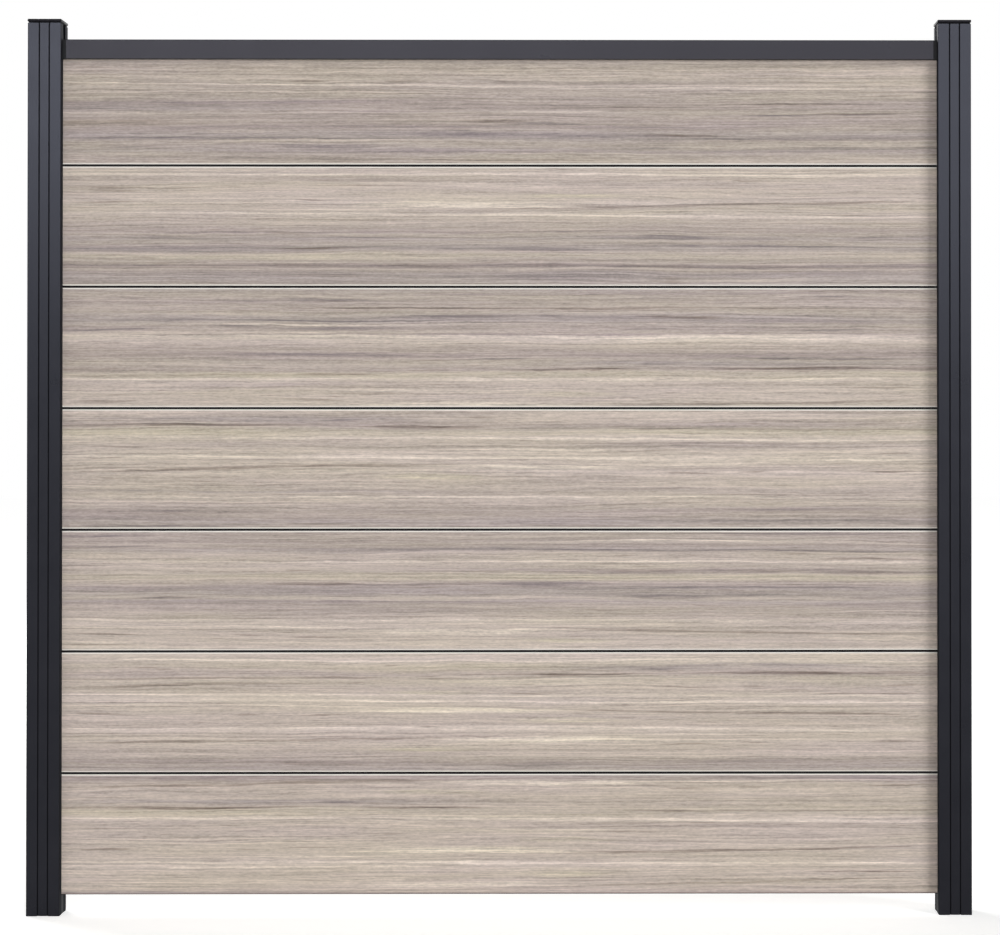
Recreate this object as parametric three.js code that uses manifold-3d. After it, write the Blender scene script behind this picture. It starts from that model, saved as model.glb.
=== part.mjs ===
// Garden privacy screen: seven hollow tongue-and-groove composite boards stacked between two slotted
// aluminium posts, under an aluminium rail. Millimetres, +X along the panel, +Z up, front at -Y,
// origin on the ground under the middle of the panel.
import * as THREE from 'three';
import { mergeVertices } from 'three/addons/utils/BufferGeometryUtils.js';
import Module from 'manifold-3d';

// ---------------------------------------------------------------- driving dimensions

// Panel
const CLEAR_WIDTH = 1800; // between the inner faces of the posts
const GROUND_GAP = 40; // under the lowest board
const POST_ABOVE_RAIL = 32;
const SEAT_GAP = 0.3; // between a piece and what it stands on
const SIDE_FIT = 0.3; // between a piece and the walls beside it

// Boards
const BOARD_COUNT = 7;
const BOARD_THICKNESS = 20;
const BOARD_PITCH = 250;
const BOARD_END_GAP = 3.7; // between a board's end and the slot's floor, for heat
const JOINT_GAP = 2.8; // shadow gap between the shoulders of two boards
const BOARD_BEVEL_HEIGHT = 3.4; // of the slope that each face ends in, above and below
const BOARD_BEVEL_DEPTH = 1.5;
const BOARD_BEVEL_ROUND = 2; // radius where the face turns into the slope
const TONGUE_HEIGHT = 7.9;
const TONGUE_ROOT_WIDTH = 7.4;
const TONGUE_TIP_WIDTH = 6.2;
const TONGUE_TIP_RADIUS = 0.8;
const BOARD_SKIN = 4.2; // front and back wall of a board
const BOARD_WEB = 4.2; // between two chambers of a board
const BOARD_CHAMBER_COUNT = 6;
const BOARD_CHAMBER_RADIUS = 2.5;

// Post extrusion
const POST_SIDE = 68;
const POST_WALL = 1.8;
const POST_EDGE_RADIUS = 1.5;
const SLOT_CLEARANCE = 1.25; // between a board's face and the lip of a slot
const SLOT_DEPTH = 20.7; // from the post's face to the slot's floor
const LIP_THICKNESS = 2.2;
const LIP_OVERHANG = 1; // of a lip over the slot behind it
const LIP_EDGE_RADIUS = 0.5;
const POST_FILLET = 1.2;
const SCREW_PORT_RADIUS = 2.1; // for the screws of a base plate
const SCREW_PORT_WALL = 1.4;
const SCREW_PORT_OPENING = 2.6;

// Top rail
const RAIL_HEIGHT = 40;
const RAIL_WALL = 1.6;
const RAIL_STANDOFF = 8.4; // between a board's face and the rail's leg
const RAIL_RETURN_WALL = 2; // of the flange that each leg turns in towards the board
const RAIL_EDGE_RADIUS = 0.9;

// Moulded rail ends
const RAIL_END_FLANGE = 7;
const RAIL_PRONG_LENGTH = 16; // into the rail
const SLOT_PRONG_END_GAP = 3; // between a prong and the slot's floor
const PRONG_RADIUS = 1.4;

// Cover strips
const COVER_REVEAL = 2.2; // groove on each side of a fitted strip
const COVER_FACE = 1.8;
const COVER_LEG = 1.4;
const COVER_HOOK_RAMP = 3;
const COVER_EDGE_RADIUS = 0.5;
const COVER_FOOT_GAP = 0.5; // above the ground

// Slot seals
const SEAL_FOOT_DEPTH = 6;
const SEAL_NOSE_SETBACK = 0.7; // behind the post's face
const SEAL_NOSE_RADIUS = 0.25;

// Board supports
const SUPPORT_SETBACK = 0.4; // behind the post's face
const SUPPORT_WALL = 3;

// Post caps
const CAP_PLATE = 5.5;
const CAP_OVERHANG = 0.5;
const CAP_BEVEL = 0.8;
const CAP_CORNER_RADIUS = 2;
const CAP_REVEAL_HEIGHT = 2.2; // of the shadow line under the plate
const CAP_REVEAL_INSET = 2.2;
const CAP_LIP_WALL = 1.8;
const CAP_LIP_LENGTH = 14;
const CAP_LIP_REACH = 11; // of each arm of an L-shaped lip

// Rail screws
const SCREW_RADIUS = 1.75;
const SCREW_LENGTH = 20;
const SCREW_TIP = 3;
const SCREW_HEAD_RADIUS = 3.6;
const SCREW_HEAD_HEIGHT = 2.3;
const SCREW_HEAD_RIM = 0.8; // height of the head's straight edge
const SCREW_HEAD_FLAT = 2.5; // radius of the flat on top of the head
const SCREW_FROM_POST = 60;
const SCREW_ABOVE_RAIL_EDGE = 14;

const ARC_STEPS = 4; // straight pieces in a quarter round
const ROUND_STEPS = 20; // straight pieces in a full round
const BEVEL_STEPS = 3;

// ---------------------------------------------------------------- places worked out from them

const BOARD_HALF = BOARD_THICKNESS / 2;
const BODY_HEIGHT = BOARD_PITCH - JOINT_GAP;
const BOARD_LENGTH = CLEAR_WIDTH + 2 * (SLOT_DEPTH - BOARD_END_GAP);
const GROOVE_DEPTH = TONGUE_HEIGHT - JOINT_GAP + SEAT_GAP;
const CHAMBER_BOTTOM = GROOVE_DEPTH + BOARD_SKIN;
const CHAMBER_PITCH = (BODY_HEIGHT - BOARD_SKIN - CHAMBER_BOTTOM + BOARD_WEB) / BOARD_CHAMBER_COUNT;

const POST_HALF = POST_SIDE / 2;
const POST_X = CLEAR_WIDTH / 2 + POST_HALF;
const SLOT_MOUTH_HALF = BOARD_HALF + SLOT_CLEARANCE;
const SLOT_HALF = SLOT_MOUTH_HALF + LIP_OVERHANG;
const SLOT_FLOOR = POST_HALF - SLOT_DEPTH; // from the post's axis
const LIP_BACK = POST_HALF - LIP_THICKNESS; // from the post's axis
const CORE_HALF = SLOT_FLOOR - POST_WALL;
const CORNER_NEAR = SLOT_HALF + POST_WALL; // inner walls of a corner chamber
const CORNER_FAR = POST_HALF - POST_WALL; // its outer walls

const SHOULDER_Z = GROUND_GAP + (BOARD_COUNT - 1) * BOARD_PITCH + BODY_HEIGHT; // of the top board
const TONGUE_TIP_Z = SHOULDER_Z + TONGUE_HEIGHT;
const RAIL_TOP_Z = TONGUE_TIP_Z + SEAT_GAP + RAIL_WALL;
const RAIL_BOTTOM_Z = RAIL_TOP_Z - RAIL_HEIGHT;
const RAIL_INNER_HALF = BOARD_HALF + RAIL_STANDOFF;
const RAIL_HALF = RAIL_INNER_HALF + RAIL_WALL;
const FLANGE_X = CLEAR_WIDTH / 2 - SEAT_GAP; // the face of a rail end towards its post
const RAIL_LENGTH = 2 * (FLANGE_X - RAIL_END_FLANGE - SEAT_GAP);
const POST_LENGTH = RAIL_TOP_Z + POST_ABOVE_RAIL;

const SCREW_X = CLEAR_WIDTH / 2 - SCREW_FROM_POST;
const SCREW_Z = RAIL_BOTTOM_Z + SCREW_ABOVE_RAIL_EDGE;

// The turn about Z that points a post's local +X out of the named face.
const FACE_TURN = { right: 0, back: Math.PI / 2, left: Math.PI, front: -Math.PI / 2 };

// towardsPanel is also the sign that turns a world Y into the local Y of the post's inner face.
const POSTS = [
  { side: 'left', towardsPanel: 1, inner: 'right', outer: 'left' },
  { side: 'right', towardsPanel: -1, inner: 'left', outer: 'right' },
];
const FACES = [
  { face: 'front', sign: -1 },
  { face: 'back', sign: 1 },
];

// ---------------------------------------------------------------- materials

const coatedAluminium = { color: 0x3b3d43, roughness: 0.5, metalness: 0.6 };
const woodComposite = { color: 0xb9ada0, roughness: 0.75, metalness: 0 };
const blackPlastic = { color: 0x17181a, roughness: 0.6, metalness: 0 };
const blackRubber = { color: 0x101112, roughness: 0.9, metalness: 0 };
const blackSteel = { color: 0x2a2b2e, roughness: 0.4, metalness: 0.8 };

// ---------------------------------------------------------------- outlines

// An outline is a list of points [x, y], or of corners [x, y, radius] where a round is wanted.

/** Points along an arc, ends included. */
function arc(centreX, centreY, radius, from, to) {
  const steps = Math.max(1, Math.round((Math.abs(to - from) / (Math.PI / 2)) * ARC_STEPS));
  return Array.from({ length: steps + 1 }, (_, i) => {
    const angle = from + ((to - from) * i) / steps;
    return [centreX + radius * Math.cos(angle), centreY + radius * Math.sin(angle)];
  });
}

/** Points round an outline's corners; a corner without a radius stays sharp. */
function rounded(corners) {
  const points = corners.map(([x, y]) => new THREE.Vector2(x, y));
  return corners.flatMap(([x, y, radius], i) => {
    if (!radius) return [[x, y]];
    const corner = points[i];
    const before = points.at(i - 1).clone().sub(corner).normalize();
    const after = points[(i + 1) % points.length].clone().sub(corner).normalize();
    const halfAngle = Math.acos(before.dot(after)) / 2;
    const centre = before.clone().add(after).normalize()
      .multiplyScalar(radius / Math.sin(halfAngle)).add(corner);
    const start = before.multiplyScalar(radius / Math.tan(halfAngle)).add(corner).sub(centre);
    const end = after.multiplyScalar(radius / Math.tan(halfAngle)).add(corner).sub(centre);
    const sweep = Math.atan2(start.cross(end), start.dot(end));
    return arc(centre.x, centre.y, radius, start.angle(), start.angle() + sweep);
  });
}

/** Corners of one half, then of its mirror image across the X axis, in one closed order. */
const withMirrorInX = (corners) =>
  [...corners, ...corners.map(([x, y, radius]) => [x, -y, radius]).reverse()];

/** The same across the Y axis. */
const withMirrorInY = (corners) =>
  [...corners, ...corners.map(([x, y, radius]) => [-x, y, radius]).reverse()];

/** An outline turned by whole quarter turns about the origin. */
function quarterTurned(outline, turns) {
  if (turns === 0) return outline;
  return quarterTurned(outline.map(([x, y, radius]) => [-y, x, radius]), turns - 1);
}

/** One outline repeated for the four quarters of a section. */
const inFourQuarters = (outline) => [0, 1, 2, 3].map((turns) => quarterTurned(outline, turns));

/** A square about the origin. */
const roundedSquare = (half, radius) =>
  rounded([[half, -half, radius], [half, half, radius], [-half, half, radius], [-half, -half, radius]]);

/** A section from its outline and the outlines of its holes. */
function section(outline, holes = []) {
  const vectors = (points) => points.map(([x, y]) => new THREE.Vector2(x, y));
  const shape = new THREE.Shape(vectors(outline));
  shape.holes = holes.map((points) => new THREE.Path(vectors(points)));
  return shape;
}

// ---------------------------------------------------------------- solids

const wasm = await Module();
wasm.setup();

/** A closed geometry as a solid that can be joined and cut. */
function solidOf(geometry) {
  const plain = geometry.clone();
  plain.deleteAttribute('normal');
  plain.deleteAttribute('uv');
  const merged = mergeVertices(plain);
  return new wasm.Manifold(
    new wasm.Mesh({
      numProp: 3,
      vertProperties: new Float32Array(merged.attributes.position.array),
      triVerts: new Uint32Array(merged.index.array),
    }),
  );
}

/** A solid back as a geometry. */
function geometryOf(solid) {
  const mesh = solid.getMesh();
  const geometry = new THREE.BufferGeometry();
  geometry.setAttribute('position', new THREE.BufferAttribute(mesh.vertProperties, 3));
  geometry.setIndex(new THREE.BufferAttribute(mesh.triVerts, 1));
  geometry.computeVertexNormals();
  return geometry;
}

/** Geometries joined into one. */
const joined = (geometries) =>
  geometryOf(geometries.map(solidOf).reduce((sum, next) => sum.add(next)));

/** A geometry with others cut out of it. */
const cut = (geometry, tools) =>
  geometryOf(tools.map(solidOf).reduce((rest, tool) => rest.subtract(tool), solidOf(geometry)));

/** A section drawn on X and Y, drawn out from one height to another. */
const upright = (shape, bottom, top) =>
  new THREE.ExtrudeGeometry(shape, { depth: top - bottom, bevelEnabled: false })
    .translate(0, 0, bottom);

// Takes a section's X, Y and drawing direction to the panel's Y, Z and X.
const ALONG_PANEL = new THREE.Matrix4().makeBasis(
  new THREE.Vector3(0, 1, 0),
  new THREE.Vector3(0, 0, 1),
  new THREE.Vector3(1, 0, 0),
);

/** A section drawn across the panel, with its heights, drawn out between two places along X. */
const alongPanel = (shape, fromX, toX) =>
  new THREE.ExtrudeGeometry(shape, { depth: toX - fromX, bevelEnabled: false })
    .applyMatrix4(ALONG_PANEL)
    .translate(fromX, 0, 0);

// ---------------------------------------------------------------- post

// A quarter of the post's outline: the slot in its +X face, then the corner after it.
const POST_QUARTER = [
  [POST_HALF, -SLOT_MOUTH_HALF, LIP_EDGE_RADIUS],
  [LIP_BACK, -SLOT_MOUTH_HALF, LIP_EDGE_RADIUS],
  [LIP_BACK, -SLOT_HALF],
  [SLOT_FLOOR, -SLOT_HALF, LIP_EDGE_RADIUS],
  [SLOT_FLOOR, SLOT_HALF, LIP_EDGE_RADIUS],
  [LIP_BACK, SLOT_HALF],
  [LIP_BACK, SLOT_MOUTH_HALF, LIP_EDGE_RADIUS],
  [POST_HALF, SLOT_MOUTH_HALF, LIP_EDGE_RADIUS],
  [POST_HALF, POST_HALF, POST_EDGE_RADIUS],
];

/** The corner chamber towards +X and +Y, with the open screw port in its inner angle. */
function cornerChamber() {
  const port = CORNER_NEAR + SCREW_PORT_RADIUS;
  const outside = SCREW_PORT_RADIUS + SCREW_PORT_WALL;
  const wallMeetsPort = Math.acos(-SCREW_PORT_RADIUS / outside);
  const diagonal = Math.PI / 4;
  const boreMouth = Math.asin(SCREW_PORT_OPENING / 2 / SCREW_PORT_RADIUS);
  const outerMouth = Math.asin(SCREW_PORT_OPENING / 2 / outside);
  const near = CORNER_NEAR + POST_FILLET;
  const far = CORNER_FAR - POST_FILLET;
  return [
    ...arc(port, port, outside, diagonal - outerMouth, Math.PI / 2 - wallMeetsPort),
    ...arc(far, near, POST_FILLET, -Math.PI / 2, 0),
    ...arc(far, far, POST_FILLET, 0, Math.PI / 2),
    ...arc(near, far, POST_FILLET, Math.PI / 2, Math.PI),
    ...arc(port, port, outside, wallMeetsPort, diagonal + outerMouth),
    ...arc(port, port, SCREW_PORT_RADIUS, diagonal + boreMouth, diagonal + 2 * Math.PI - boreMouth),
  ];
}

/** The slotted post, with an open core for a ground anchor and four corner chambers. */
const postGeometry = () => upright(
  section(rounded(inFourQuarters(POST_QUARTER).flat()), [
    roundedSquare(CORE_HALF, POST_FILLET),
    ...inFourQuarters(cornerChamber()),
  ]),
  0,
  POST_LENGTH,
);

/** A channel that hooks behind the lips of the slot in the +X face and stands on its floor. */
function coverGeometry() {
  const half = SLOT_MOUTH_HALF - COVER_REVEAL;
  const hook = LIP_BACK - SEAT_GAP;
  const legEnd = SLOT_FLOOR + SEAT_GAP;
  const outline = rounded(withMirrorInX([
    [POST_HALF, half, COVER_EDGE_RADIUS],
    [hook, half],
    [hook, SLOT_HALF - SIDE_FIT],
    [hook - COVER_HOOK_RAMP, half],
    [legEnd, half],
    [legEnd, half - COVER_LEG],
    [POST_HALF - COVER_FACE, half - COVER_LEG, COVER_EDGE_RADIUS],
  ]));
  return upright(section(outline), COVER_FOOT_GAP, POST_LENGTH);
}

/** The rubber strip beside a board's face, in the +X slot: sign 1 for its +Y side, -1 for -Y. */
function sealGeometry(sign) {
  const inner = BOARD_HALF + SIDE_FIT;
  const step = LIP_BACK - SIDE_FIT;
  const corners = [
    [POST_HALF - SEAL_NOSE_SETBACK, inner, SEAL_NOSE_RADIUS],
    [POST_HALF - SEAL_NOSE_SETBACK, SLOT_MOUTH_HALF - SIDE_FIT, SEAL_NOSE_RADIUS],
    [step, SLOT_MOUTH_HALF - SIDE_FIT],
    [step, SLOT_HALF - SIDE_FIT],
    [step - SEAL_FOOT_DEPTH, SLOT_HALF - SIDE_FIT],
    [step - SEAL_FOOT_DEPTH, inner],
  ];
  const outline = rounded(corners.map(([x, y, radius]) => [x, sign * y, radius]));
  return upright(section(outline), GROUND_GAP, RAIL_BOTTOM_Z - SEAT_GAP);
}

/** The block that fills the foot of the +X slot and carries the boards. */
function supportGeometry() {
  const front = POST_HALF - SUPPORT_SETBACK;
  const back = SLOT_FLOOR + SIDE_FIT;
  const half = SLOT_HALF - SIDE_FIT;
  const outline = rounded(withMirrorInX([
    [front, SLOT_MOUTH_HALF - SIDE_FIT, LIP_EDGE_RADIUS],
    [LIP_BACK - SIDE_FIT, SLOT_MOUTH_HALF - SIDE_FIT],
    [LIP_BACK - SIDE_FIT, half],
    [back, half, LIP_EDGE_RADIUS],
  ]));
  const core = [
    [front - SUPPORT_WALL, SUPPORT_WALL / 2],
    [front - SUPPORT_WALL, half - SUPPORT_WALL],
    [back + SUPPORT_WALL, half - SUPPORT_WALL],
    [back + SUPPORT_WALL, SUPPORT_WALL / 2],
  ];
  const cores = FACES.map(({ sign }) => core.map(([x, y]) => [x, sign * y]));
  return upright(section(outline, cores), 0, GROUND_GAP - SEAT_GAP);
}

/** A flat cap: a plate, a set-back neck for its shadow line, and an L-shaped lip in each chamber. */
function capGeometry() {
  const neckBottom = POST_LENGTH + SEAT_GAP;
  const plateBottom = neckBottom + CAP_REVEAL_HEIGHT;
  const plate = new THREE.ExtrudeGeometry(
    section(roundedSquare(POST_HALF + CAP_OVERHANG, CAP_CORNER_RADIUS)),
    {
      depth: CAP_PLATE - 2 * CAP_BEVEL,
      bevelThickness: CAP_BEVEL,
      bevelSize: CAP_BEVEL,
      bevelOffset: -CAP_BEVEL,
      bevelSegments: BEVEL_STEPS,
    },
  ).translate(0, 0, plateBottom + CAP_BEVEL);
  const neck = section(roundedSquare(POST_HALF - CAP_REVEAL_INSET, CAP_CORNER_RADIUS));
  const outer = CORNER_FAR - SIDE_FIT;
  const inner = outer - CAP_LIP_WALL;
  const end = outer - CAP_LIP_REACH;
  const lip = rounded([
    [outer, end],
    [outer, outer, POST_FILLET],
    [end, outer],
    [end, inner],
    [inner, inner],
    [inner, end],
  ]);
  return joined([
    plate,
    upright(neck, neckBottom, plateBottom + CAP_PLATE / 2),
    ...inFourQuarters(lip).map((points) =>
      upright(section(points), POST_LENGTH - CAP_LIP_LENGTH, plateBottom)),
  ]);
}

// ---------------------------------------------------------------- boards

/** The section of a board above its lower edge: tongue on top, groove below, chambers between. */
function boardSection() {
  const outline = rounded(withMirrorInY([
    [TONGUE_TIP_WIDTH / 2, BODY_HEIGHT + TONGUE_HEIGHT, TONGUE_TIP_RADIUS],
    [TONGUE_ROOT_WIDTH / 2, BODY_HEIGHT],
    [BOARD_HALF - BOARD_BEVEL_DEPTH, BODY_HEIGHT],
    [BOARD_HALF, BODY_HEIGHT - BOARD_BEVEL_HEIGHT, BOARD_BEVEL_ROUND],
    [BOARD_HALF, BOARD_BEVEL_HEIGHT, BOARD_BEVEL_ROUND],
    [BOARD_HALF - BOARD_BEVEL_DEPTH, 0],
    [TONGUE_ROOT_WIDTH / 2 + SIDE_FIT, 0],
    [TONGUE_TIP_WIDTH / 2 + SIDE_FIT, GROOVE_DEPTH],
  ]));
  const half = BOARD_HALF - BOARD_SKIN;
  const chambers = Array.from({ length: BOARD_CHAMBER_COUNT }, (_, i) => {
    const bottom = CHAMBER_BOTTOM + i * CHAMBER_PITCH;
    const top = bottom + CHAMBER_PITCH - BOARD_WEB;
    return rounded([
      [half, bottom, BOARD_CHAMBER_RADIUS],
      [half, top, BOARD_CHAMBER_RADIUS],
      [-half, top, BOARD_CHAMBER_RADIUS],
      [-half, bottom, BOARD_CHAMBER_RADIUS],
    ]);
  });
  return section(outline, chambers);
}

const boardGeometry = () => alongPanel(boardSection(), -BOARD_LENGTH / 2, BOARD_LENGTH / 2);

/** A round cutter for a rail screw, from inside a board's back skin to past the rail. */
function screwHole(x, z) {
  const from = BOARD_HALF - BOARD_SKIN - SCREW_TIP;
  const to = RAIL_HALF + SCREW_HEAD_HEIGHT;
  const radius = SCREW_RADIUS + SIDE_FIT;
  return new THREE.CylinderGeometry(radius, radius, to - from, ROUND_STEPS)
    .translate(x, (from + to) / 2, z);
}

// ---------------------------------------------------------------- top rail

/** An inverted channel whose legs turn in at the bottom, as far as the board's faces. */
function railGeometry() {
  const tip = BOARD_HALF + SIDE_FIT;
  const returnTop = RAIL_BOTTOM_Z + RAIL_RETURN_WALL;
  const outline = rounded(withMirrorInY([
    [RAIL_HALF, RAIL_TOP_Z, RAIL_EDGE_RADIUS],
    [RAIL_HALF, RAIL_BOTTOM_Z, RAIL_EDGE_RADIUS],
    [tip, RAIL_BOTTOM_Z],
    [tip, returnTop],
    [RAIL_INNER_HALF, returnTop],
    [RAIL_INNER_HALF, RAIL_TOP_Z - RAIL_WALL],
  ]));
  const channel = alongPanel(section(outline), -RAIL_LENGTH / 2, RAIL_LENGTH / 2);
  return cut(channel, [screwHole(-SCREW_X, SCREW_Z), screwHole(SCREW_X, SCREW_Z)]);
}

/** The right-hand rail end: a collar round the top board, with two prongs through it. */
function railEndGeometry() {
  const tongue = TONGUE_ROOT_WIDTH / 2 + SIDE_FIT;
  const shoulder = SHOULDER_Z + SEAT_GAP;
  const collar = rounded(withMirrorInY([
    [RAIL_HALF, RAIL_TOP_Z, RAIL_EDGE_RADIUS],
    [RAIL_HALF, RAIL_BOTTOM_Z],
    [BOARD_HALF + SIDE_FIT, RAIL_BOTTOM_Z],
    [BOARD_HALF + SIDE_FIT, shoulder],
    [tongue, shoulder],
    [tongue, TONGUE_TIP_Z + SEAT_GAP],
  ]));
  const railTip = FLANGE_X - RAIL_END_FLANGE - RAIL_PRONG_LENGTH;
  const slotTip = CLEAR_WIDTH / 2 + SLOT_DEPTH - SLOT_PRONG_END_GAP;
  const outside = Math.min(SLOT_MOUTH_HALF, RAIL_INNER_HALF) - SIDE_FIT;
  const prongTop = RAIL_TOP_Z - RAIL_WALL - SEAT_GAP;
  const prongs = FACES.map(({ sign }) => {
    const plan = rounded([
      [railTip, sign * tongue, PRONG_RADIUS],
      [slotTip, sign * tongue, PRONG_RADIUS],
      [slotTip, sign * outside, PRONG_RADIUS],
      [railTip, sign * outside, PRONG_RADIUS],
    ]);
    return upright(section(plan), shoulder, prongTop);
  });
  return joined([alongPanel(section(collar), FLANGE_X - RAIL_END_FLANGE, FLANGE_X), ...prongs]);
}

/** A pan-head screw pointing from the back of the rail into the top board. */
function screwGeometry() {
  const seat = RAIL_HALF + SEAT_GAP;
  const profile = [
    [0, seat - SCREW_LENGTH],
    [SCREW_RADIUS, seat - SCREW_LENGTH + SCREW_TIP],
    [SCREW_RADIUS, seat],
    [SCREW_HEAD_RADIUS, seat],
    [SCREW_HEAD_RADIUS, seat + SCREW_HEAD_RIM],
    [SCREW_HEAD_FLAT, seat + SCREW_HEAD_HEIGHT],
    [0, seat + SCREW_HEAD_HEIGHT],
  ].map(([radius, y]) => new THREE.Vector2(radius, y));
  return new THREE.LatheGeometry(profile, ROUND_STEPS);
}

// ---------------------------------------------------------------- assembly

/** Adds a named piece to a group and returns it. */
function place(group, name, geometry, finish) {
  const mesh = new THREE.Mesh(geometry, new THREE.MeshStandardMaterial(finish));
  mesh.name = name;
  group.add(mesh);
  return mesh;
}

/** A group in the post's frame whose +X looks out of the named face. */
function faceGroup(postGroup, face) {
  const group = new THREE.Group();
  group.rotation.z = FACE_TURN[face];
  postGroup.add(group);
  return group;
}

const screen = new THREE.Group();

for (const { side, towardsPanel, inner, outer } of POSTS) {
  const post = new THREE.Group();
  post.position.x = -towardsPanel * POST_X;
  screen.add(post);
  place(post, `post_${side}`, postGeometry(), coatedAluminium);
  place(post, `post_cap_${side}`, capGeometry(), coatedAluminium);
  for (const face of ['front', 'back']) {
    place(faceGroup(post, face), `cover_${side}_${face}`, coverGeometry(), coatedAluminium);
  }
  place(faceGroup(post, outer), `cover_${side}_outer`, coverGeometry(), coatedAluminium);
  const slot = faceGroup(post, inner);
  place(slot, `board_support_${side}`, supportGeometry(), blackPlastic);
  for (const { face, sign } of FACES) {
    place(slot, `slot_seal_${side}_${face}`, sealGeometry(sign * towardsPanel), blackRubber);
  }
}

for (let i = 0; i < BOARD_COUNT; i += 1) {
  const bottom = GROUND_GAP + i * BOARD_PITCH;
  const isTop = i === BOARD_COUNT - 1;
  const holes = isTop ? [-SCREW_X, SCREW_X].map((x) => screwHole(x, SCREW_Z - bottom)) : [];
  const board = holes.length ? cut(boardGeometry(), holes) : boardGeometry();
  place(screen, `board_${i + 1}`, board, woodComposite).position.z = bottom;
}

place(screen, 'top_rail', railGeometry(), coatedAluminium);
place(screen, 'rail_end_right', railEndGeometry(), blackPlastic);
place(screen, 'rail_end_left', railEndGeometry(), blackPlastic).rotation.z = Math.PI;
place(screen, 'rail_screw_left', screwGeometry(), blackSteel).position.set(-SCREW_X, 0, SCREW_Z);
place(screen, 'rail_screw_right', screwGeometry(), blackSteel).position.set(SCREW_X, 0, SCREW_Z);

export default screen;
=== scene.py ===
"""Garden privacy screen: the finishes, fine pieces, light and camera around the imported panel.

Everything is in metres in the panel's own frame: +X along the panel, +Z up, front at -Y, origin on
the ground under its middle.
"""

from __future__ import annotations

import logging
import math
from collections.abc import Callable, Iterator
from contextlib import contextmanager
from dataclasses import dataclass, field
from enum import Enum
from typing import Any

import bmesh
import bpy
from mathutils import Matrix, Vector


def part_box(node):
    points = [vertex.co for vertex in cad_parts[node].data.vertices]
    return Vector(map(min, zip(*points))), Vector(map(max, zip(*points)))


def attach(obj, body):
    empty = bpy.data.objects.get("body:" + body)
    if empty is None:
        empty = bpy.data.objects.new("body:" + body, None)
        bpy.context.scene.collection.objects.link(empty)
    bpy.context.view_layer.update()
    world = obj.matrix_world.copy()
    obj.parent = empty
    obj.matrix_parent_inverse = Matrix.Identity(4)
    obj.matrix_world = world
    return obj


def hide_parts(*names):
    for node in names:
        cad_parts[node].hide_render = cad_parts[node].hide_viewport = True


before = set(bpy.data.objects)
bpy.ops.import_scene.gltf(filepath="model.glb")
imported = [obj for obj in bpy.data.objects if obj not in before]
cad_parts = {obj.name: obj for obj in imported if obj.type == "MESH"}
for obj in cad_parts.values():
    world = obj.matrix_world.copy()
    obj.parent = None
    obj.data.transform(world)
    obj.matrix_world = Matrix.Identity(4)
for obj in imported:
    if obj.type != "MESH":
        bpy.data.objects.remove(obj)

MM = 0.001
BODY = "root"
SIDES = ("left", "right")
TYPICAL_IOR = 1.5
FLAT = 0.99  # a normal's least length along an axis, on a face square to that axis
TOUCH = 0.1 * MM  # things closer than this lie in one plane

Tree = bpy.types.NodeTree
Finish = bpy.types.Material
Piece = bpy.types.Object
Source = bpy.types.NodeSocket | bpy.types.Node
Size = tuple[float, float, float]
log = logging.getLogger("garden_screen")


# ---------------------------------------------------------------- colours and nodes


def linear(hex_colour: str) -> tuple[float, float, float, float]:
    """Turns an sRGB colour into the linear one that shaders take.

    Args:
        hex_colour: The colour as "#rrggbb".

    Returns:
        Red, green, blue and an alpha of 1.
    """
    channels = [int(hex_colour[i : i + 2], 16) / 255 for i in (1, 3, 5)]
    red, green, blue = (
        c / 12.92 if c <= 0.04045 else ((c + 0.055) / 1.055) ** 2.4 for c in channels
    )
    return red, green, blue, 1.0


def add(
    tree: Tree, kind: str, inputs: dict[int | str, Any] | None = None, **settings: Any
) -> bpy.types.Node:
    """Adds one node with its settings and links.

    Args:
        tree: The tree that gets the node.
        kind: The node's type, without its "ShaderNode" prefix where it has one.
        inputs: For each input, by name or number, a value to set, a socket to link, or a node whose
            first live output is linked.
        **settings: The node's own properties.

    Returns:
        The new node.
    """
    node = tree.nodes.new(kind if kind.startswith("Node") else f"ShaderNode{kind}")
    for name, value in settings.items():
        setattr(node, name, value)
    for key, value in (inputs or {}).items():
        if isinstance(value, bpy.types.Node):
            value = next(output for output in value.outputs if output.enabled)
        if isinstance(value, bpy.types.NodeSocket):
            tree.links.new(value, node.inputs[key])
        else:
            node.inputs[key].default_value = value
    return node


def new_material(name: str) -> tuple[Finish, Tree]:
    """Makes an empty node material.

    Args:
        name: The material's name.

    Returns:
        The material and its tree.
    """
    material = bpy.data.materials.new(name)
    material.use_nodes = True
    material.node_tree.nodes.clear()
    return material, material.node_tree


def finish_surface(
    tree: Tree, inputs: dict[int | str, Any], height: Source, depth: float, strength: float = 0.5
) -> None:
    """Adds the surface shader with its relief and joins it to the output.

    Args:
        tree: The material's tree.
        inputs: The inputs of the Principled shader.
        height: The relief, from 0 to 1.
        depth: The relief's real depth in metres.
        strength: How much of the relief shows.
    """
    relief = add(tree, "Bump", {"Height": height, "Distance": depth, "Strength": strength})
    shader = add(tree, "BsdfPrincipled", inputs | {"Normal": relief})
    add(tree, "OutputMaterial", {"Surface": shader})


def unevenness(
    tree: Tree, place: Source, cell: Size, seed: float = 0.0, detail: float = 2.0
) -> bpy.types.Node:
    """Adds a soft unevenness whose cells have a real size.

    Args:
        tree: The tree that gets the nodes.
        place: Where it is read.
        cell: Length of one cell along each axis, in the units of place.
        seed: Moves the pattern, so that two of one size differ.
        detail: Number of finer layers.

    Returns:
        The node that gives it, from 0 to 1 about 0.5.
    """
    per_cell, start = tuple(1 / c for c in cell), (seed, seed * 1.7, seed * 0.6)
    scaled = add(tree, "VectorMath", {0: place, 1: per_cell, 2: start}, operation="MULTIPLY_ADD")
    return add(tree, "TexNoise", {"Vector": scaled, "Scale": 1.0, "Detail": detail})


# ---------------------------------------------------------------- plain finishes


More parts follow.
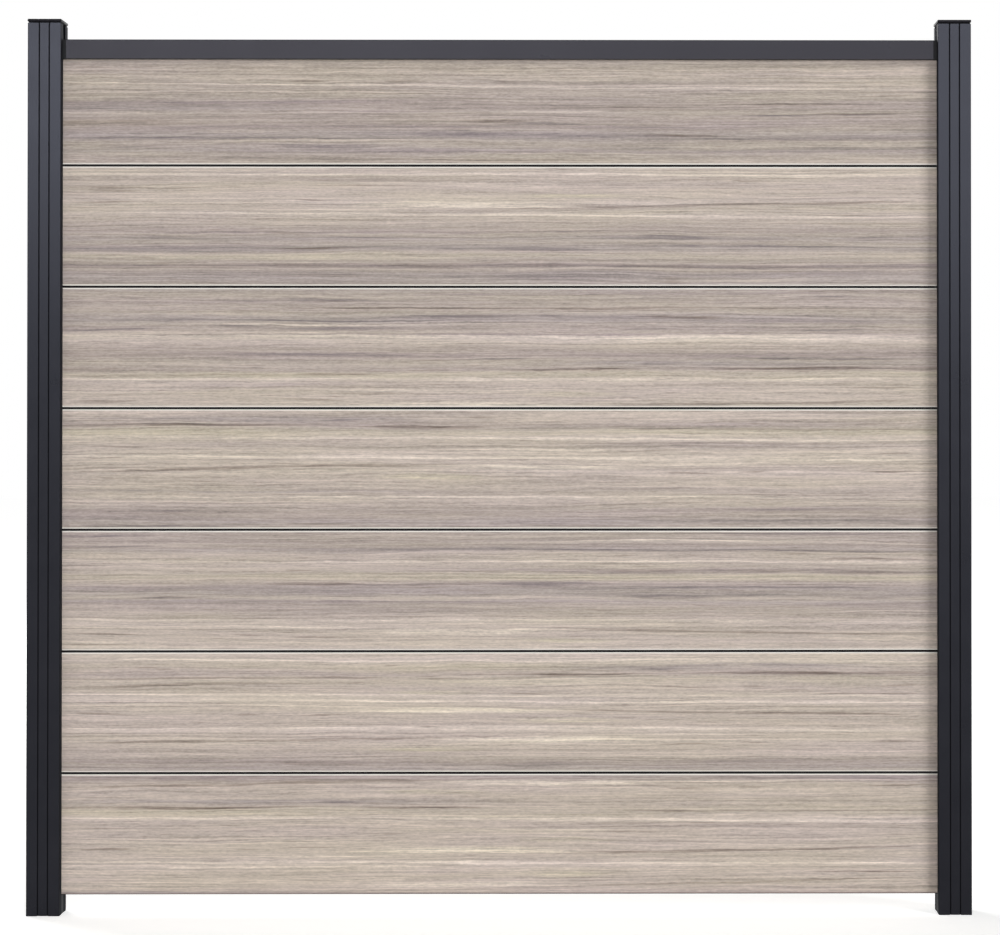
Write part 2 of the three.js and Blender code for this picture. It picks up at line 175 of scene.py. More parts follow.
@dataclass(frozen=True)
class PowderCoatedAluminium:
    """Extruded aluminium with a baked matt polyester powder coat.

    To the eye it is a dark slate grey with a broad soft sheen, paler where it faces the bright
    upper half of the room, and a faint orange peel that shows only close up. The grooves beside the
    cover strips, the sides towards the boards and the neck under a cap carry painted shade: nearly
    black and dull, less so on those sides above the rail.
    """

    name: str = "powder_coated_aluminium"
    dark: str = "#0f0e11"
    light: str = "#151417"
    roughness: float = 0.29
    roughness_spread: float = 0.04
    coat_reflection: float = 0.23
    reflection_tint: str = "#dfe5fc"
    # The painted shade: its colour, its roughness and its share on the sides above the rail.
    painted_shade: str = "#070708"
    painted_shade_roughness: float = 0.95
    painted_shade_above_rail: float = 0.55
    groove_lip: float = 0.6 * MM
    cap_rim: float = 5.8 * MM
    peel_cell: float = 1.6 * MM
    peel_depth: float = 0.012 * MM
    grain_share: float = 0.5
    cloud_cell: float = 60 * MM

    def build(self) -> Finish:
        """Makes the material."""
        material, tree = new_material(self.name)
        place = add(tree, "TexCoord").outputs["Object"]
        cloud = unevenness(tree, place, (self.cloud_cell,) * 3, detail=4)
        grain = unevenness(tree, place, (self.peel_cell / 2,) * 3, seed=4)
        tint = {0: grain, 1: self.grain_share, 2: cloud}
        tint = {"Value": add(tree, "Math", tint, operation="MULTIPLY_ADD")}
        tint = add(tree, "MapRange", tint | {"From Min": self.grain_share, "From Max": 1.0})
        powder = {0: tint, 6: linear(self.dark), 7: linear(self.light)}
        powder = add(tree, "Mix", powder, data_type="RGBA")
        low, high = self.roughness - self.roughness_spread, self.roughness + self.roughness_spread
        gloss = add(tree, "MapRange", {"Value": cloud, "To Min": low, "To Max": high})
        # Painted shade: nearly black and dull in the grooves, under the caps and on the sides
        # towards the boards.
        painted_shade = self._painted_shade_mask(tree, place)
        colour = {0: painted_shade, 6: powder, 7: linear(self.painted_shade)}
        gloss = {0: painted_shade, 2: gloss, 3: self.painted_shade_roughness}
        surface = {
            "Base Color": add(tree, "Mix", colour, data_type="RGBA"),
            "Roughness": add(tree, "Mix", gloss),
            "IOR": TYPICAL_IOR,
            "Specular IOR Level": self.coat_reflection,
            "Specular Tint": linear(self.reflection_tint),
        }
        peel = unevenness(tree, place, (self.peel_cell,) * 3, seed=9)
        finish_surface(tree, surface, peel, self.peel_depth)
        return material

    def _painted_shade_mask(self, tree: Tree, place: Source) -> bpy.types.Node:
        """Adds the mask of painted shade: the grooves, the sides towards the boards and the neck
        under a cap.

        Args:
            tree: The material's tree.
            place: The place on the panel, in metres.

        Returns:
            1 in a groove or on the side towards the boards, below the rail, less on that side
            above the rail, otherwise 0.
        """
        x, y, z = add(tree, "SeparateXYZ", {0: place}).outputs
        from_middle = add(tree, "Math", {0: x}, operation="ABSOLUTE")
        low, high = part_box("post_right")
        axis, half = (low.x + high.x) / 2, (high.x - low.x) / 2
        under_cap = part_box("post_cap_right")[1].z - self.cap_rim
        under_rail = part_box("top_rail")[0].z
        across = add(tree, "Math", {0: from_middle, 1: axis}, operation="SUBTRACT")
        across = add(tree, "Math", {0: across}, operation="ABSOLUTE")
        through = add(tree, "Math", {0: y}, operation="ABSOLUTE")
        outward = add(tree, "Math", {0: across, 1: through}, operation="MAXIMUM")
        inner = axis - half + self.groove_lip
        tests = (
            (outward, half - self.groove_lip, under_cap, 1.0),
            (from_middle, inner, under_rail, 1.0),
            (from_middle, inner, under_cap, self.painted_shade_above_rail),
        )
        most = None
        for value, limit, top, share in tests:
            deep = add(tree, "Math", {0: value, 1: limit}, operation="LESS_THAN")
            below = add(tree, "Math", {0: z, 1: top}, operation="LESS_THAN")
            below = add(tree, "Math", {0: below, 1: share}, operation="MULTIPLY")
            part = add(tree, "Math", {0: deep, 1: below}, operation="MULTIPLY")
            if most is not None:
                part = add(tree, "Math", {0: most, 1: part}, operation="MAXIMUM")
            most = part
        return most


@dataclass(frozen=True)
class MattBlack:
    """A black piece that is moulded, extruded or blackened.

    To the eye it is nearly black, with a fine texture that breaks up its dull sheen.
    """

    name: str
    dark: str
    light: str
    roughness: float
    ior: float = TYPICAL_IOR
    reflection: float = 0.5
    metallic: float = 0.0
    roughness_spread: float = 0.08
    cell: float = 0.8 * MM
    depth: float = 0.02 * MM
    relief_strength: float = 0.6

    def build(self) -> Finish:
        """Makes the material."""
        material, tree = new_material(self.name)
        place = add(tree, "TexCoord").outputs["Object"]
        texture = unevenness(tree, place, (self.cell,) * 3, detail=3)
        colour = {0: texture, 6: linear(self.dark), 7: linear(self.light)}
        low, high = self.roughness - self.roughness_spread, self.roughness + self.roughness_spread
        surface = {
            "Base Color": add(tree, "Mix", colour, data_type="RGBA"),
            "Roughness": add(tree, "MapRange", {"Value": texture, "To Min": low, "To Max": high}),
            "IOR": self.ior,
            "Specular IOR Level": self.reflection,
            "Metallic": self.metallic,
        }
        finish_surface(tree, surface, texture, self.depth, self.relief_strength)
        return material


# Polyamide from a spark-eroded mould: dull black.
MOULDED_NYLON = MattBlack("moulded_black_nylon", "#0d0e10", "#17181b", 0.6, 1.53, 0.12)
# Extruded synthetic rubber: blacker and duller still.
EXTRUDED_RUBBER = MattBlack("extruded_black_rubber", "#0a0a0b", "#111112", 0.85, 1.52, 0.1)
# Phosphated steel: dark with a faint metallic sheen.
BLACKENED_STEEL = MattBlack("blackened_steel", "#26272a", "#34353a", 0.38, metallic=0.85)


# ---------------------------------------------------------------- composite boards


class Tone(Enum):
    """Colours of the boards' streaked skin, from dark to pale."""

    BARK = "#74665d"
    EARTH = "#86786f"
    SLATE = "#7d7374"
    MAUVE = "#958888"
    ASH = "#9f9592"
    LILAC = "#a79c99"
    DUSK = "#a99c96"
    TAUPE = "#b1a59c"
    TAN = "#bcb1a1"
    SAND = "#baada3"
    BEIGE = "#c0b3a9"
    OLIVE = "#c4bba4"
    CREAM = "#c8bbb1"
    PALE = "#dccfc3"
    HEART = "#e4d8c7"
    # Painted highlight on the bevels, pale on upward and downward ones alike.
    BEVEL = "#e9e4dd"
    # Painted shade on the lowest board's downward bevel, which faces the floor.
    BARE = "#a39590"
    # The charcoal core, also painted shade on the tongues and grooves in the joints.
    CORE = "#141112"


@dataclass(frozen=True)
class Mark:
    """One drawn-out mark in a board's skin, in millimetres.

    along and down place its middle, from the figure's own middle and line, and slope is how far it
    drops in a metre.
    """

    tone: Tone
    along: float
    down: float
    half_length: float
    half_width: float
    strength: float = 1.0
    slope: float = 0.0


@dataclass(frozen=True)
class Figure:
    """A group of marks that comes back on several boards, the right way round or turned over."""

    name: str
    marks: tuple[Mark, ...]


@dataclass(frozen=True)
class Placed:
    """A figure on a board: how far down its line lies, in millimetres, and how it is turned."""

    figure: Figure
    down: float
    mirrored: bool = False
    upturned: bool = False
    strength: float = 1.0


def marks(*rows: tuple[Any, ...]) -> tuple[Mark, ...]:
    """Turns rows with a mark's values, in the order of its fields, into marks."""
    return tuple(Mark(*row) for row in rows)


T = Tone  # short, for the rows below
HEART = Figure(
    "heartwood",
    marks(
        (T.PALE, -382, 11.5, 230, 3.2, 0.7, 12), (T.EARTH, 420, 22, 560, 4.2, 0.75, 19),
        (T.EARTH, 690, 27, 230, 3.0, 0.6, 17), (T.HEART, -110, 22, 260, 9, 0.8, 6),
        (T.HEART, 60, 19, 160, 4, 0.6, -4), (T.EARTH, -815, 27, 100, 3.2, 0.75, 16),
        (T.EARTH, -520, 29, 40, 2.2, 0.6), (T.EARTH, -383, 31.5, 85, 2.6, 0.75, -10),
        (T.OLIVE, 141, 41, 150, 8, 0.6),
    ),
)
SHADED_LINE = Figure(
    "shaded_line",
    marks(
        (T.DUSK, 362, 13, 420, 9, 0.75, 4), (T.EARTH, -784, 17, 95, 2.6, 0.5, 10),
        (T.PALE, 90, 22, 300, 3.6, 0.6, -4), (T.EARTH, 275, 26, 150, 2.8, 0.5, -8),
        (T.EARTH, 805, 31, 80, 2.6, 0.6, -20),
    ),
)
BARK_LINE = Figure(
    "bark_line",
    marks(
        (T.TAN, 0, 14, 1700, 15, 0.8), (T.ASH, -480, -12, 560, 8, 0.8, 3),
        (T.SLATE, -330, -9, 60, 4, 0.6), (T.EARTH, -700, 0, 420, 4.6, 0.6, 2),
        (T.BARK, -600, 0.5, 240, 3.8, 1.0, 2), (T.BARK, -160, 2, 180, 3.6, 1.0, 3),
        (T.EARTH, 333, 8, 110, 4.0, 0.9, 4), (T.EARTH, 640, 10, 420, 3.2, 0.55, 4),
    ),
)
CLUSTER_EDGE = Figure(
    "cluster_edge",
    marks(
        (T.MAUVE, -200, 0, 1100, 3, 0.8), (T.SLATE, -680, 8.2, 110, 3.2, 0.8),
        (T.SLATE, -300, 9.8, 95, 3, 0.6), (T.TAUPE, -265, 6.5, 160, 3.4, 0.8, 8),
        (T.SLATE, 352, 10.6, 140, 6, 0.85), (T.SLATE, 352, 13, 330, 4, 0.4),
        (T.SLATE, 531, 16, 90, 2.4, 0.7), (T.SLATE, 764, 10, 70, 2.6, 0.6),
    ),
)
CLUSTER_HEART = Figure(
    "cluster_heart",
    marks(
        (T.SAND, 520, 21, 480, 4, 0.7, 2), (T.MAUVE, -680, 27, 380, 8, 0.6, 4),
        (T.SLATE, 480, 28.7, 520, 3.2, 0.85, 3), (T.BARK, -372, 33.6, 130, 4.4, 1.0, 8),
        (T.SLATE, -240, 33, 200, 3.4, 0.6, 4), (T.SLATE, -97, 35.6, 45, 3, 0.6),
        (T.SLATE, 83, 36, 140, 8, 0.85), (T.SLATE, 83, 36, 380, 5, 0.4),
        (T.SAND, 525, 41.8, 180, 3.4, 0.7),
    ),
)


@dataclass(frozen=True)
class BoardPattern:
    """How one board's skin is streaked: its full-length bands, its figures and its own marks.

    bands gives pairs of millimetres down from the board's upper edge and the tone there, and shade
    is how light the board is drawn beside the others: painted shade, darker towards the top board,
    where the lamps light more strongly.
    """

    number: int
    shade: float
    bands: tuple[tuple[float, Tone], ...]
    placed: tuple[Placed, ...]
    marks: tuple[Mark, ...]


# Each pattern's second value is its shade: painted shade, darker towards the top board.
PATTERNS = (
    BoardPattern(
        1, 1.02,
        (
            (4, T.LILAC), (16, T.DUSK), (24, T.SAND), (34, T.BEIGE), (52, T.SAND), (58, T.TAUPE),
            (64, T.SAND), (72, T.TAN), (84, T.BEIGE), (92, T.CREAM), (106, T.SAND), (117, T.BEIGE),
            (150, T.BEIGE), (170, T.BEIGE), (184, T.CREAM), (200, T.BEIGE), (228, T.BEIGE),
            (238, T.SAND), (246, T.TAUPE),
        ),
        (
            Placed(HEART, -2, mirrored=True), Placed(BARK_LINE, 68), Placed(SHADED_LINE, 94),
            Placed(HEART, 180, upturned=True), Placed(HEART, 247, upturned=True, strength=0.7),
        ),
        marks(
            (T.MAUVE, -600, 10, 520, 7, 0.9), (T.MAUVE, 600, 8, 520, 5, 0.7),
            (T.PALE, 380, 17, 900, 3, 0.8, -9), (T.PALE, 0, 94, 1700, 3.4, 1.0, 5),
            (T.PALE, 0, 182, 1700, 3.4, 1.0, 3), (T.PALE, -500, 190, 700, 3, 0.7, 1),
            (T.EARTH, 745, 205, 170, 2.8, 0.9), (T.ASH, -760, 243, 420, 5, 0.8),
        ),
    ),
    BoardPattern(
        2, 0.99,
        (
            (4, T.BEIGE), (15, T.CREAM), (30, T.TAN), (38, T.SAND), (46, T.DUSK), (52, T.SAND),
            (62, T.BEIGE), (75, T.SAND), (88, T.CREAM), (100, T.CREAM), (112, T.BEIGE),
            (135, T.BEIGE), (150, T.SAND), (160, T.CREAM), (172, T.SAND), (184, T.CREAM),
            (200, T.SAND), (213, T.BEIGE), (219, T.TAUPE), (226, T.DUSK), (238, T.LILAC),
            (246, T.TAUPE),
        ),
        (
            Placed(HEART, 40, mirrored=True), Placed(BARK_LINE, 44, mirrored=True),
            Placed(HEART, 101), Placed(HEART, 158, mirrored=True),
            Placed(CLUSTER_HEART, 195, strength=0.6),
        ),
        marks(
            (T.PALE, 0, 19, 1700, 3.4, 1.0, 3), (T.PALE, 0, 88, 1700, 3.2, 0.9, 2),
            (T.PALE, 0, 101, 1700, 3.4, 1.0, 4), (T.PALE, 0, 158, 1700, 3.4, 1.0, 3),
            (T.EARTH, 760, 83, 170, 2.8, 0.9, 3), (T.MAUVE, -720, 235, 420, 3, 0.8),
        ),
    ),
    BoardPattern(
        3, 0.965,
        (
            (4, T.DUSK), (14, T.TAUPE), (21, T.DUSK), (27, T.TAUPE), (34, T.DUSK), (40, T.LILAC),
            (50, T.SAND), (62, T.BEIGE), (72, T.BEIGE), (80, T.TAUPE), (88, T.TAUPE), (98, T.TAN),
            (105, T.SAND), (112, T.DUSK), (120, T.LILAC), (130, T.LILAC), (137, T.TAUPE),
            (146, T.LILAC), (154, T.DUSK), (168, T.TAUPE), (180, T.SAND), (190, T.CREAM),
            (205, T.BEIGE), (230, T.BEIGE), (243, T.CREAM),
        ),
        (
            Placed(CLUSTER_EDGE, 146, upturned=True), Placed(CLUSTER_HEART, 146, upturned=True),
            Placed(HEART, 187),
        ),
        marks(
            (T.SLATE, -820, 9, 160, 3, 0.8), (T.SLATE, 640, 8, 360, 3, 0.7),
            (T.PALE, 420, 23, 560, 3, 0.8, -5), (T.SLATE, -820, 32, 180, 3, 0.8),
            (T.SLATE, 150, 41, 1000, 3.6, 0.8, 6), (T.SLATE, 640, 44, 340, 3, 0.7, 6),
            (T.PALE, 0, 65, 1700, 3, 0.8, 2), (T.EARTH, 760, 61, 150, 2.8, 0.8, 3),
            (T.MAUVE, 420, 84, 900, 7, 0.9, 9), (T.EARTH, 300, 82, 130, 4, 0.5, 9),
            (T.EARTH, 540, 85, 130, 4, 0.5, 9), (T.EARTH, 780, 88, 130, 4, 0.5, 9),
            (T.TAN, 0, 96, 1700, 9, 0.7, 5), (T.PALE, 0, 186, 1700, 3.4, 1.0, 5),
            (T.EARTH, -830, 236, 110, 2.8, 0.7),
        ),
    ),
    BoardPattern(
        4, 0.955,
        (
            (4, T.SAND), (14, T.BEIGE), (24, T.SAND), (33, T.DUSK), (40, T.TAUPE), (48, T.TAN),
            (60, T.CREAM), (68, T.SAND), (76, T.TAUPE), (83, T.BEIGE), (98, T.CREAM),
            (112, T.BEIGE), (124, T.SAND), (130, T.CREAM), (142, T.SAND), (160, T.BEIGE),
            (166, T.TAUPE), (176, T.SAND), (184, T.BEIGE), (196, T.SAND), (204, T.TAUPE),
            (212, T.DUSK), (220, T.DUSK), (232, T.LILAC), (246, T.TAUPE),
        ),
        (
            Placed(BARK_LINE, 33), Placed(SHADED_LINE, 61), Placed(HEART, 100, mirrored=True),
            Placed(CLUSTER_HEART, 201, strength=0.5),
        ),
        marks(
            (T.PALE, 0, 61, 1700, 3.4, 1.0, 6), (T.PALE, 0, 101, 1700, 3.4, 1.0, 3),
            (T.ASH, -560, 168, 480, 3, 0.9, 1), (T.PALE, 0, 182, 1700, 3.4, 0.9, 4),
            (T.SLATE, -690, 210, 100, 3, 0.6), (T.MAUVE, 640, 209, 320, 6, 0.8),
            (T.SLATE, -720, 240, 300, 3.4, 0.9, 1), (T.TAUPE, 100, 218, 260, 5, 0.6),
        ),
    ),
    BoardPattern(
        5, 0.94,
        (
            (4, T.LILAC), (15, T.TAUPE), (22, T.TAUPE), (32, T.DUSK), (39, T.TAUPE), (46, T.DUSK),
            (52, T.TAUPE), (62, T.LILAC), (70, T.ASH), (76, T.TAUPE), (88, T.DUSK), (94, T.SAND),
            (104, T.CREAM), (112, T.CREAM), (118, T.SAND), (128, T.DUSK), (146, T.DUSK),
            (152, T.TAUPE), (164, T.TAUPE), (170, T.DUSK), (177, T.TAN), (190, T.CREAM),
            (201, T.SAND), (210, T.BEIGE), (220, T.BEIGE), (246, T.BEIGE),
        ),
        (
            Placed(CLUSTER_EDGE, 13, mirrored=True),
            Placed(CLUSTER_EDGE, 97, mirrored=True, upturned=True),
            Placed(CLUSTER_HEART, 97, mirrored=True, upturned=True),
            Placed(BARK_LINE, 169, mirrored=True), Placed(SHADED_LINE, 190, mirrored=True),
            Placed(HEART, 262, upturned=True, strength=0.8),
        ),
        marks(
            (T.BARK, 740, 9, 220, 2.4, 0.9), (T.EARTH, 200, 44, 1000, 2.8, 0.8, 3),
            (T.BARK, -240, 43, 260, 3, 0.9, 1), (T.PALE, -350, 78, 340, 2.8, 0.7),
            (T.SLATE, -820, 87, 160, 2.8, 0.9), (T.PALE, 0, 102, 1700, 3.4, 1.0, 2),
            (T.PALE, 420, 107, 620, 2.8, 0.7, 2), (T.MAUVE, -300, 139, 560, 7, 0.8),
            (T.SLATE, -360, 139, 240, 3.6, 0.8, 3), (T.SLATE, -20, 147, 110, 3, 0.8),
            (T.MAUVE, 560, 140, 620, 9, 0.7, -3), (T.SLATE, 640, 146, 280, 3.2, 1.0, -6),
            (T.SAND, 60, 138, 150, 4, 0.7), (T.PALE, 0, 190, 1700, 3.4, 1.0, 3),
        ),
    ),
    BoardPattern(
        6, 0.93,
        (
            (4, T.BEIGE), (16, T.CREAM), (27, T.SAND), (36, T.BEIGE), (50, T.SAND), (62, T.BEIGE),
            (74, T.CREAM), (86, T.SAND), (98, T.CREAM), (106, T.BEIGE), (116, T.SAND),
            (123, T.TAUPE), (131, T.DUSK), (140, T.TAUPE), (147, T.LILAC), (158, T.TAUPE),
            (166, T.ASH), (172, T.LILAC), (178, T.SAND), (186, T.TAN), (196, T.TAUPE),
            (203, T.DUSK), (208, T.MAUVE), (214, T.DUSK), (222, T.LILAC), (236, T.LILAC),
            (246, T.TAUPE),
        ),
        (
            Placed(SHADED_LINE, 17, mirrored=True), Placed(HEART, 101, upturned=True),
            Placed(CLUSTER_EDGE, 135), Placed(CLUSTER_HEART, 135),
            Placed(CLUSTER_HEART, 192, strength=0.6),
        ),
        marks(
            (T.PALE, 60, 18, 1500, 3.2, 1.0, 2), (T.EARTH, -815, 42, 110, 3, 0.8, 14),
            (T.PALE, 0, 101, 1700, 3.4, 1.0, 4), (T.TAN, -350, 186, 900, 9, 0.8),
            (T.MAUVE, 0, 206, 1700, 6, 0.8, 1), (T.EARTH, -640, 206, 130, 4, 0.5, 8),
            (T.EARTH, -400, 206, 130, 4, 0.5, 8), (T.EARTH, -160, 206, 130, 4, 0.5, 8),
            (T.EARTH, 80, 207, 130, 4, 0.5, 8), (T.EARTH, 320, 207, 130, 4, 0.5, 8),
            (T.EARTH, 560, 207, 130, 4, 0.5, 8), (T.SAND, 90, 216, 150, 4, 0.8),
            (T.SAND, 440, 232, 260, 4, 0.7),
        ),
    ),
    BoardPattern(
        7, 0.885,
        (
            (4, T.TAUPE), (36, T.TAUPE), (48, T.SAND), (58, T.SAND), (66, T.SAND), (75, T.TAUPE),
            (82, T.SAND), (90, T.TAUPE), (100, T.SAND), (108, T.TAUPE), (118, T.DUSK),
            (130, T.DUSK), (142, T.TAUPE), (150, T.DUSK), (162, T.DUSK), (174, T.DUSK),
            (184, T.LILAC), (190, T.ASH), (200, T.TAUPE), (208, T.TAUPE), (218, T.LILAC),
            (226, T.TAUPE), (236, T.SAND), (246, T.SAND),
        ),
        (
            Placed(CLUSTER_EDGE, 220, mirrored=True, upturned=True),
            Placed(CLUSTER_HEART, 221, mirrored=True, upturned=True),
        ),
        marks(
            (T.EARTH, -400, 74, 60, 3.4, 0.9), (T.EARTH, -200, 75, 60, 3.0, 0.7),
            (T.EARTH, 20, 75, 50, 3.0, 0.7), (T.PALE, -100, 84, 1600, 3.2, 0.9, 6),
            (T.MAUVE, -560, 117, 620, 6, 0.9, -2), (T.DUSK, 0, 115, 500, 4, 0.8),
            (T.ASH, -700, 130, 420, 12, 0.7), (T.MAUVE, -220, 138, 180, 4, 0.8),
            (T.EARTH, 240, 127, 200, 3, 0.8, -4), (T.BARK, 610, 122, 200, 3, 0.8),
            (T.PALE, 110, 137, 160, 4, 0.7, -6), (T.SLATE, 660, 145, 280, 3.4, 1.0, -12),
            (T.BARK, 730, 142, 160, 3, 0.8, -8), (T.SAND, -30, 157, 110, 3, 0.6, 8),
            (T.BARK, -10, 159, 100, 2.8, 0.9, 16), (T.SLATE, 100, 164, 140, 4, 0.9, 12),
            (T.EARTH, -800, 160, 240, 8, 0.6), (T.MAUVE, 0, 171, 1200, 4, 0.7),
            (T.SLATE, -640, 191, 420, 2.8, 0.9), (T.SAND, -420, 197, 300, 4, 0.8),
            (T.SAND, 520, 213, 320, 3, 0.6), (T.EARTH, -180, 236, 560, 3, 0.7),
        ),
    ),
)


@dataclass(frozen=True)
class WoodComposite:
    """Co-extruded wood-plastic composite: a streaked coloured skin round a charcoal core.

    To the eye it is a dry, matt board in sand and lilac grey, with long soft streaks and fine
    fibres. The bevels along both edges of each face carry a pale painted highlight, and the tongues
    and grooves show the charcoal core as painted shade in the joints. All lengths are in
    millimetres, and a cell is given along the board and down it. The finest fibres are drawn
    coarser than real ones, so that they show in a picture of the whole panel.
    """

    pattern: BoardPattern
    body_height: float
    roughness: tuple[float, float] = (0.54, 0.72)
    reflection: float = 0.3
    core_and_joint_shade_edge: float = 8.97
    band_softness: float = 0.22
    mark_core: float = 0.25
    board_step: float = 7.3
    back_step: float = 40
    wander: tuple[float, ...] = (9.0, 5.0, 2.0)
    wander_cells: tuple[tuple[float, float], ...] = ((900, 60), (260, 18), (45, 5))
    break_cell: tuple[float, float] = (70, 3)
    break_range: tuple[float, ...] = (0.3, 0.65, 0.3, 1.15)
    streaks: tuple[Size, ...] = (
        (620, 11, 0.20),
        (1300, 2.7, 0.75),
        (420, 2.8, 0.65),
        (110, 2.7, 0.50),
        (30, 2.4, 0.42),
        (9, 2.2, 0.55),
    )
    hue_cell: tuple[float, float] = (520, 24)
    hue_range: tuple[float, float] = (0.35, 0.65)
    lilac: tuple[float, ...] = (0.995, 0.985, 1.02, 1)
    tan: tuple[float, ...] = (1.005, 1.012, 0.975, 1)
    dash_cell: tuple[float, float] = (95, 2.6)
    dash_range: Size = (0.84, 0.98, 0.55)
    cluster_cell: tuple[float, float] = (400, 30)
    cluster_share: float = 0.35
    # How steep a face is where the bevels' painted highlight takes over from the face colour.
    bevel_range: tuple[float, float] = (0.1, 0.3)
    relief_cell: tuple[float, float] = (60, 1.6)
    relief_depth: float = 0.12

    def build(self, top: float) -> Finish:
        """Makes the board's material.

        Args:
            top: Height of the upper edge of the board's faces, in metres.

        Returns:
            The material.
        """
        material, tree = new_material(f"wood_composite_{self.pattern.number}")
        place = self._skin_place(tree, top)
        wandered = self._wander(tree, place)
        colour = self._bands(tree, add(tree, "SeparateXYZ", {0: wandered}).outputs[2])
        limits = dict(zip(("From Min", "From Max", "To Min", "To Max"), self.break_range))
        uneven = unevenness(tree, place, self._cell(*self.break_cell), seed=17, detail=3)
        broken = add(tree, "MapRange", {"Value": uneven} | limits)
        for figure, vector, strength in self._figures(tree, wandered):
            given = {"Colour": colour, "Place": vector, "Broken": broken, "Strength": strength}
            colour = add(tree, "Group", given, node_tree=figure_group(figure, self.mark_core))
        colour = self._grain(tree, wandered, place, colour)
        relief = unevenness(tree, place, self._cell(*self.relief_cell), seed=31, detail=4)
        gloss = dict(zip(("To Min", "To Max"), self.roughness))
        surface = {
            "Base Color": self._edges(tree, colour),
            "Roughness": add(tree, "MapRange", {"Value": relief} | gloss),
            "IOR": TYPICAL_IOR,
            "Specular IOR Level": self.reflection,
        }
        finish_surface(tree, surface, relief, self.relief_depth * MM)
        return material

    @staticmethod
    def _cell(along: float, down: float) -> Size:
        """The cell of an unevenness that is drawn out along the board."""
        return along, 1.0, down

    def _skin_place(self, tree: Tree, top: float) -> bpy.types.Node:
        """Adds the place on the skin: millimetres along, a face number, millimetres down.

        Args:
            tree: The material's tree.
            top: Height of the upper edge of the board's faces, in metres.

        Returns:
            The place. The back face has the pattern turned over, with other fibres.
        """
        place = add(tree, "TexCoord").outputs["Object"]
        through = add(tree, "SeparateXYZ", {0: place}).outputs[1]
        is_back = add(tree, "Math", {0: through, 1: 0.0}, operation="GREATER_THAN")
        per_mm = 1 / MM
        front = {0: place, 1: (per_mm, 0, -per_mm), 2: (0, 0, top * per_mm)}
        front = {0: add(tree, "VectorMath", front, operation="MULTIPLY_ADD")}
        front |= {1: (0, self.board_step * self.pattern.number, 0)}
        front = add(tree, "VectorMath", front, operation="ADD")
        turned = (0, self.back_step, self.body_height - top * per_mm)
        back = {0: place, 1: (-per_mm, 0, per_mm), 2: turned}
        back = add(tree, "VectorMath", back, operation="MULTIPLY_ADD")
        return add(tree, "Mix", {0: is_back, 4: front, 5: back}, data_type="VECTOR")

    def _wander(self, tree: Tree, place: Source) -> Source:
        """Lets the streaks wander up and down a little along the board.

        Args:
            tree: The material's tree.
            place: The place on the skin.

        Returns:
            The place that the streaks are read at.
        """
        for seed, (amount, cell) in enumerate(zip(self.wander, self.wander_cells)):
            wave = unevenness(tree, place, self._cell(*cell), seed=seed * 5 + 2)
            shift = {"Value": wave, "To Min": -amount, "To Max": amount}
            step = add(tree, "CombineXYZ", {2: add(tree, "MapRange", shift, clamp=False)})
            place = add(tree, "VectorMath", {0: place, 1: step}, operation="ADD")
        return place

    def _bands(self, tree: Tree, down: Source) -> bpy.types.Node:
        """Adds the board's full-length bands.

        Args:
            tree: The material's tree.
            down: Millimetres down from the upper edge of the board's face.

        Returns:
            The colour of the bands.
        """
        share = add(tree, "Math", {0: down, 1: self.body_height}, operation="DIVIDE")
        ramp = add(tree, "ValToRGB", {0: share})
        elements = ramp.color_ramp.elements
        for index, (drop, tone) in enumerate(self.pattern.bands):
            at = drop / self.body_height
            stop = elements[index] if index < 2 else elements.new(at)  # a new ramp has two
            stop.position = at
            stop.color = linear(tone.value)
        soft = {0: self.band_softness, 6: ramp, 7: linear(Tone.SAND.value)}
        return add(tree, "Mix", soft, data_type="RGBA")

    def _figures(self, tree: Tree, place: Source) -> Iterator[tuple[Figure, Source, float]]:
        """Turns each figure into place, and the board's own marks last.

        Args:
            tree: The material's tree.
            place: The place that the streaks are read at.

        Yields:
            The figure, the place within it and its strength.
        """
        own = Figure(f"marks_of_board_{self.pattern.number}", self.pattern.marks)
        for item in (*self.pattern.placed, Placed(own, 0)):
            along, down = -1 if item.mirrored else 1, -1 if item.upturned else 1
            vector = {0: place, 1: (along, 0, down), 2: (0, 0, -down * item.down)}
            vector = add(tree, "VectorMath", vector, operation="MULTIPLY_ADD")
            yield item.figure, vector, item.strength

    def _grain(self, tree: Tree, wandered: Source, place: Source, colour: Source) -> Source:
        """Adds soft streaks, fibres and a slow change between lilac and tan.

        Args:
            tree: The material's tree.
            wandered: The place that the streaks are read at.
            place: The place on the skin.
            colour: The skin so far.

        Returns:
            The colour with its grain.
        """
        hue = {"Value": unevenness(tree, wandered, self._cell(*self.hue_cell), seed=23)}
        hue |= zip(("From Min", "From Max"), self.hue_range)
        tint = {0: add(tree, "MapRange", hue), 6: self.lilac, 7: self.tan}
        tint = {0: 1.0, 6: colour, 7: add(tree, "Mix", tint, data_type="RGBA")}
        tinted = add(tree, "Mix", tint, data_type="RGBA", blend_type="MULTIPLY")
        # The board's shade scales its brightness: painted shade on the upper boards.
        brightness = self.pattern.shade - sum(amount for *_, amount in self.streaks) / 2
        for seed, (along, down, amount) in enumerate(self.streaks):
            streak = unevenness(tree, wandered, self._cell(along, down), seed=seed * 7 + 41)
            streak = {0: streak, 1: amount, 2: brightness}
            brightness = add(tree, "Math", streak, operation="MULTIPLY_ADD")
        grained = add(tree, "VectorMath", {0: tinted, "Scale": brightness}, operation="SCALE")
        dash = unevenness(tree, wandered, self._cell(*self.dash_cell), seed=71, detail=1)
        cluster = unevenness(tree, place, self._cell(*self.cluster_cell), seed=83)
        lift = {0: cluster, 1: self.cluster_share, 2: dash}
        dashes = {"Value": add(tree, "Math", lift, operation="MULTIPLY_ADD")}
        dashes |= zip(("From Min", "From Max", "To Max"), self.dash_range)
        dashes = {0: add(tree, "MapRange", dashes), 6: grained, 7: linear(Tone.EARTH.value)}
        return add(tree, "Mix", dashes, data_type="RGBA")

